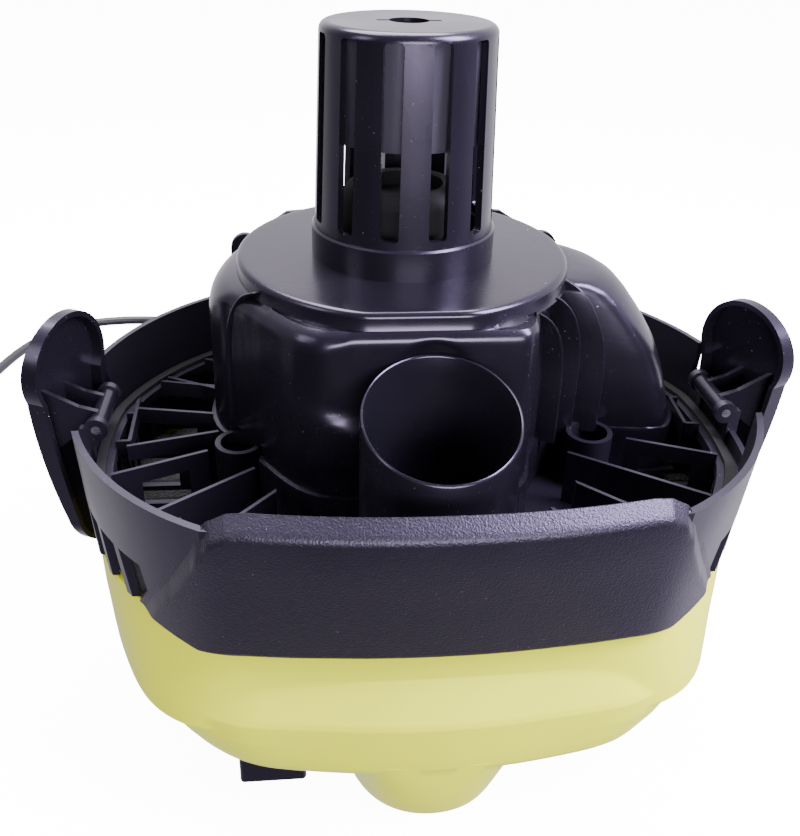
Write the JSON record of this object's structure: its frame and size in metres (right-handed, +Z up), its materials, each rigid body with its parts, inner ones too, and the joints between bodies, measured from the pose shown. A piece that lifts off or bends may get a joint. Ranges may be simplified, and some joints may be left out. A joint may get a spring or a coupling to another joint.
{
  "type": "vacuum cleaner motor head",
  "caption": "Motor head of a wet and dry vacuum cleaner, upside down: slotted float cage, domed fan cover, suction pipe, ribbed deck, side latches, hose socket and mains cord.",
  "frame": {"origin": "centre of the head on the surface that it stands on, upside down", "axes": "+Z up towards the tank side, -Y to the front with the hose socket, +X to the right"},
  "size_m": [0.5638, 0.5205, 0.2995],
  "materials": {
    "yellow_plastic": "semi gloss, lightly textured",
    "black_satin": "satin",
    "black_gloss": "gloss",
    "black_grained": "spark eroded grain",
    "rubber": "matt",
    "steel": "zinc plated",
    "aluminium": "as cast",
    "copper": "enamelled copper",
    "brass": "plain",
    "carbon": "graphite",
    "foam": "open cell foam",
    "capacitor_case": "plain",
    "cable_jacket": "satin pvc",
    "plated_brass": "nickel plated"
  },
  "bodies": {
    "head": {"brush_holders": "brass", "cage_collar": "black_gloss", "cage_sleeve": "black_satin", "carbon_brushes": "carbon", "carry_handle": "black_grained", "cord_coil": "cable_jacket", "diffuser_plate": "black_satin", "exhaust_foam": "foam", "fan_base": "steel", "fan_housing": "steel", "field_coils": "copper", "filter_cage": "black_gloss", "front_panel": "black_grained", "handle_screws": "steel", "hinge_pin_left": "steel", "hinge_pin_right": "steel", "housing_screws": "steel", "intake_seal": "rubber", "lower_bearing": "steel", "lower_housing": "black_satin", "mains_cord": "cable_jacket", "motor_bracket": "aluminium", "motor_dome": "black_gloss", "motor_frame": "steel", "plug_body": "cable_jacket", "plug_lead": "cable_jacket", "plug_pins": "plated_brass", "rear_panel": "black_satin", "rim_seal": "rubber", "rubber_mount": "rubber", "strain_relief": "cable_jacket", "suction_pipe": "black_gloss", "suppression_capacitor": "capacitor_case", "switch_body": "black_satin", "switch_frame": "black_satin", "top_cover": "yellow_plastic", "upper_bearing": "steel"},
    "latch_left": {"latch_left": "black_gloss"},
    "latch_right": {"latch_right": "black_gloss"},
    "rocker": {"switch_rocker": "black_gloss"},
    "rotor": {"motor_shaft": "steel", "armature": "steel", "commutator": "copper", "impeller": "aluminium", "impeller_nut": "steel"},
    "float": {"float_valve": "black_satin"}
  },
  "joints": [
    {"name": "latch_left_swing", "type": "hinge", "parent": "head", "child": "latch_left", "pos_m": [-0.137, -0.01, 0.143], "axis": [0, -1, 0], "range_deg": [-14, 2]},
    {"name": "latch_right_swing", "type": "hinge", "parent": "head", "child": "latch_right", "pos_m": [0.137, -0.01, 0.143], "axis": [0, 1, 0], "range_deg": [-14, 2]},
    {"name": "switch_rock", "type": "hinge", "parent": "head", "child": "rocker", "pos_m": [-0.0667, -0.074, 0.014], "axis": [1, 0, 0], "range_deg": [0, 16]},
    {"name": "motor_spin", "type": "hinge", "parent": "head", "child": "rotor", "pos_m": [-0.0053, 0.0236, 0.11], "axis": [0, 0, 1], "continuous": true},
    {"name": "float_rise", "type": "slide", "parent": "head", "child": "float", "axis": [0, 0, 1], "range_m": [0, 0.04]}
  ]
}
